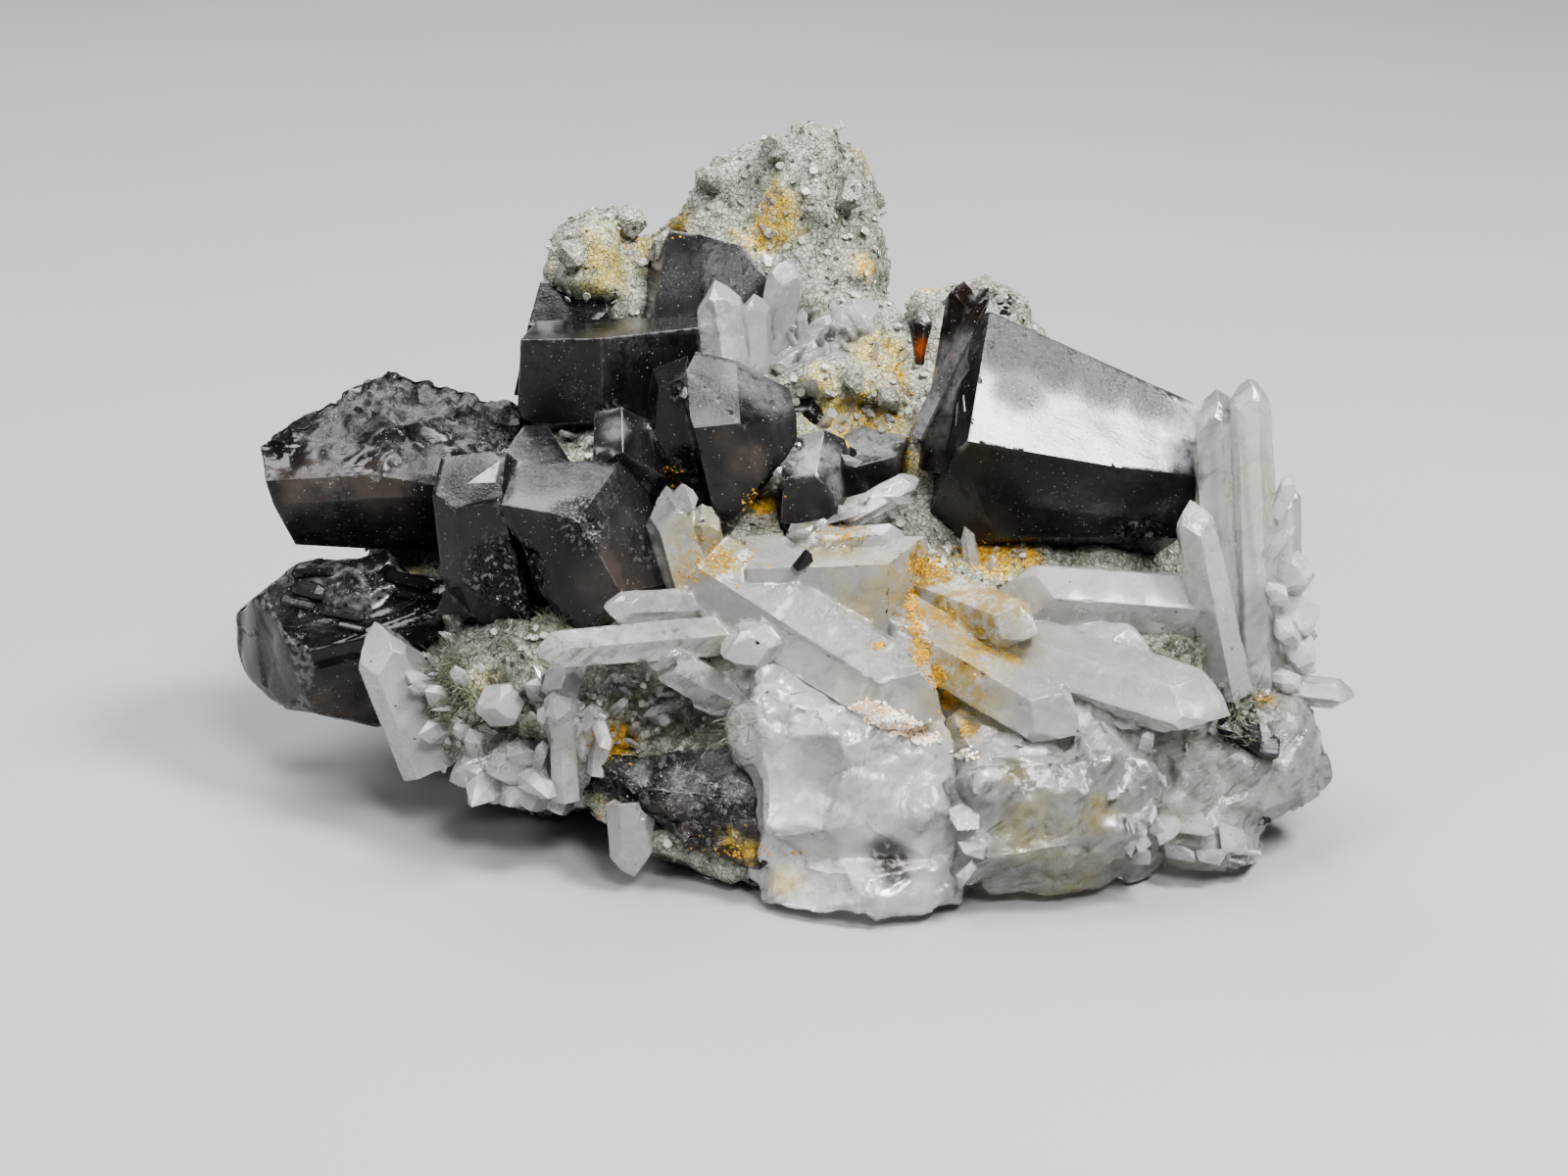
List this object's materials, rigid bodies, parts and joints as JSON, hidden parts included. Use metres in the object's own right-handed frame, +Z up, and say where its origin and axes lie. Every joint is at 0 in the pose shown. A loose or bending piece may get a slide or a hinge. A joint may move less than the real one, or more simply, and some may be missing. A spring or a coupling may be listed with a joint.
{
  "type": "cassiterite crystal specimen",
  "caption": "Hand specimen of ore: blocky, glossy black cassiterite crystals and frosted grey quartz prisms grown on a lump of pale granular greisen, flat underneath so that it stands on a shelf for display",
  "frame": {"origin": "centre of the bounding box's bottom face, on the surface that the specimen stands on", "axes": "+X along the specimen's length, to the right as its show face is seen; -Y out of the show face, towards the viewer; +Z up"},
  "size_m": [0.0724, 0.0478, 0.04],
  "materials": {
    "greisen": "rough, granular, pale grey-green with ochre stains",
    "cassiterite": "adamantine gloss on flat growth faces, striated and pitted in places",
    "brown_cassiterite": "glossy, brown where thin",
    "tourmaline": "glossy black, lengthwise ridges",
    "quartz": "vitreous, frosted grey, see-through at thin edges",
    "milky_quartz": "milky white, vitreous to frosted"
  },
  "bodies": {
    "root": {"matrix": "greisen", "cassiterite_large": "cassiterite", "cassiterite_front_twin": "cassiterite", "cassiterite_centre": "cassiterite", "cassiterite_back_block": "cassiterite", "cassiterite_back_pyramid": "cassiterite", "cassiterite_back_left": "cassiterite", "cassiterite_left_large": "cassiterite", "cassiterite_lower_left": "cassiterite", "cassiterite_chip_left": "cassiterite", "cassiterite_chip_right": "cassiterite", "cassiterite_chip_back": "cassiterite", "cassiterite_flat_plate": "cassiterite", "cassiterite_front_broken": "cassiterite", "cassiterite_blades": "brown_cassiterite", "cassiterite_brown_wedge": "brown_cassiterite", "tourmaline_stub": "tourmaline", "quartz_spray_front": "quartz", "quartz_spray_right": "quartz", "quartz_spires": "quartz", "quartz_hanging": "quartz", "quartz_blunts_back": "quartz", "quartz_sprig": "quartz", "quartz_boulder": "quartz", "quartz_corner": "quartz", "quartz_front_knob": "quartz", "quartz_button": "quartz", "quartz_blade_left": "milky_quartz", "quartz_druse_left": "milky_quartz", "quartz_bluff": "milky_quartz"}
  },
  "joints": []
}
